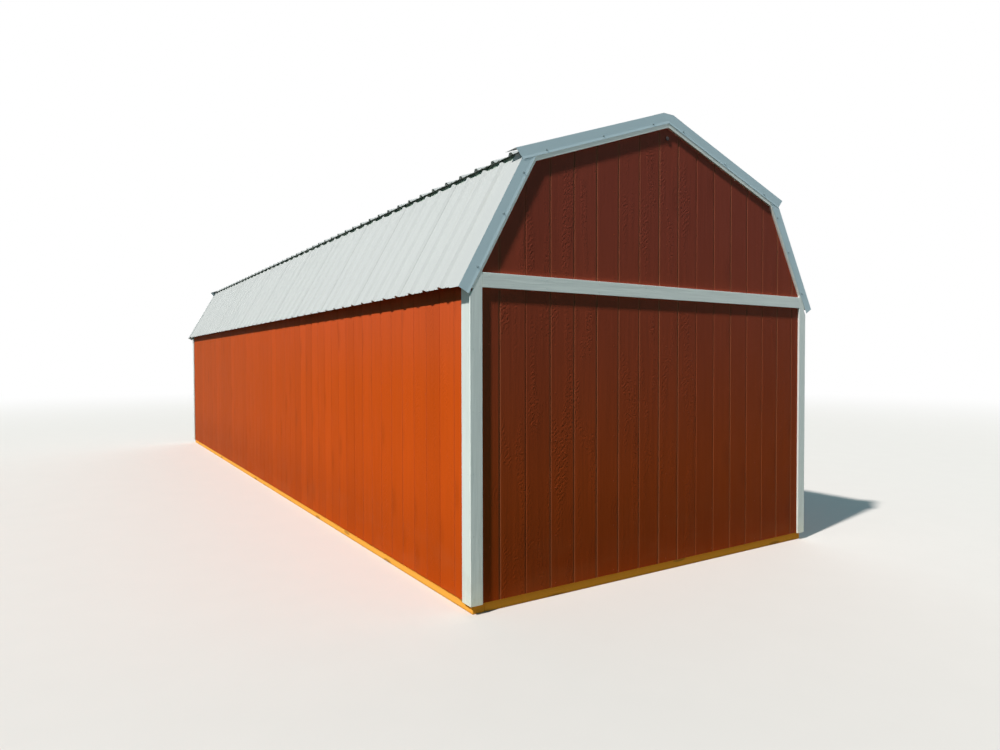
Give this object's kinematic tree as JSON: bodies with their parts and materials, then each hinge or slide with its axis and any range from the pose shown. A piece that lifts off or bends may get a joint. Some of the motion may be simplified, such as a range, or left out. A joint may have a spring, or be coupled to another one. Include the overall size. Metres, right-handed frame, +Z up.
{
  "type": "portable gambrel barn",
  "caption": "Long red storage barn on timber skids, with grooved panel siding, pale corner boards and a ribbed metal gambrel roof.",
  "frame": {"origin": "on the ground at the middle of the footprint", "axes": "+Z up, +Y along the ridge towards the far gable, +X to the right as the near gable is seen from outside"},
  "size_m": [3.6196, 10.979, 3.4564],
  "materials": {
    "treated_timber": "rough-sawn",
    "framing_timber": "planed",
    "wood_panel": "sheathing",
    "red_siding": "satin paint on embossed grain",
    "pale_trim": "satin paint on embossed grain",
    "dark_plug": "matte",
    "roof_metal": "satin",
    "rake_metal": "satin"
  },
  "bodies": {
    "root": {"skids": "treated_timber", "end_sills": "treated_timber", "rim_joists": "treated_timber", "floor_joists": "treated_timber", "floor_deck": "wood_panel", "left_wall_frame": "framing_timber", "right_wall_frame": "framing_timber", "near_wall_frame": "framing_timber", "far_wall_frame": "framing_timber", "roof_trusses": "framing_timber", "left_siding": "red_siding", "right_siding": "red_siding", "near_lower_siding": "red_siding", "near_gable_siding": "red_siding", "far_lower_siding": "red_siding", "far_gable_siding": "red_siding", "near_corner_boards": "pale_trim", "far_corner_boards": "pale_trim", "left_corner_boards": "pale_trim", "right_corner_boards": "pale_trim", "near_band_board": "pale_trim", "far_band_board": "pale_trim", "gable_plug": "dark_plug", "left_lower_roof_boards": "wood_panel", "right_lower_roof_boards": "wood_panel", "left_upper_roof_boards": "wood_panel", "right_upper_roof_boards": "wood_panel", "left_lower_rake_boards": "pale_trim", "right_lower_rake_boards": "pale_trim", "left_upper_rake_boards": "pale_trim", "right_upper_rake_boards": "pale_trim", "left_lower_roof_sheet": "roof_metal", "right_lower_roof_sheet": "roof_metal", "left_upper_roof_sheet": "roof_metal", "right_upper_roof_sheet": "roof_metal", "ridge_cap": "roof_metal", "left_lower_rake_trims": "rake_metal", "right_lower_rake_trims": "rake_metal", "left_upper_rake_trims": "rake_metal", "right_upper_rake_trims": "rake_metal"}
  },
  "joints": []
}
